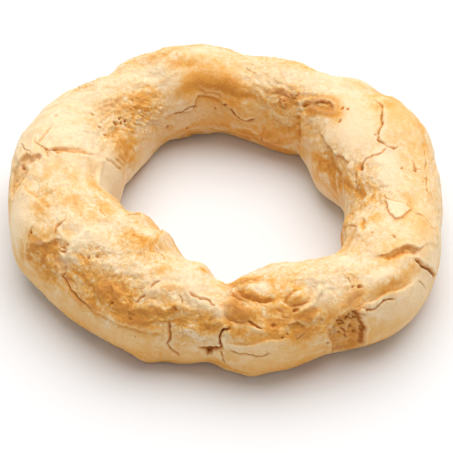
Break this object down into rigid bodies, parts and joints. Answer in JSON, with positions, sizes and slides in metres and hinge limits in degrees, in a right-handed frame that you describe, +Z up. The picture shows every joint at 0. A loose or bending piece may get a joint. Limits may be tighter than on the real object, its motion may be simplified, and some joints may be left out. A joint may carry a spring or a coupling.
{
  "type": "cassava ring biscuit",
  "caption": "Puffed cassava starch biscuit baked as one uneven ring, with a flat underside and an open middle.",
  "frame": {"origin": "on the flat underside, below the middle of the ring's bounding box", "axes": "+Z up through the hole, +X along the ring's longest extent; -Y is the side with the long pale plates"},
  "size_m": [0.0988, 0.0956, 0.0223],
  "materials": {
    "baked_starch_crust": "matte"
  },
  "bodies": {
    "root": {"cassava_ring": "baked_starch_crust"}
  },
  "joints": []
}
